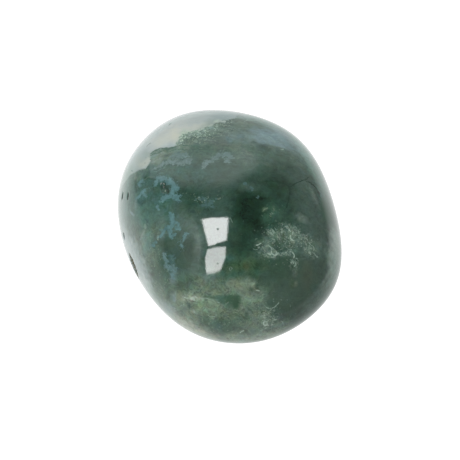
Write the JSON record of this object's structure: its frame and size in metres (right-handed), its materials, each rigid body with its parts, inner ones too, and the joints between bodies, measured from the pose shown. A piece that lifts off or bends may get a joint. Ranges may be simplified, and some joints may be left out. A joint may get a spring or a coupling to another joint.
{
  "type": "tumbled moss agate pebble",
  "caption": "Rounded, polished moss agate pebble, green moss in grey chalcedony, with a few open pits; rests on a small flat.",
  "frame": {"origin": "on the surface that the pebble rests on, under the middle of its outline", "axes": "+Y is the pebble's long way, +X its breadth and +Z its thickness, up from the flat that it rests on"},
  "size_m": [0.0346, 0.0398, 0.0237],
  "materials": {
    "moss_agate": "polished"
  },
  "bodies": {
    "root": {"moss_agate": "moss_agate"}
  },
  "joints": []
}
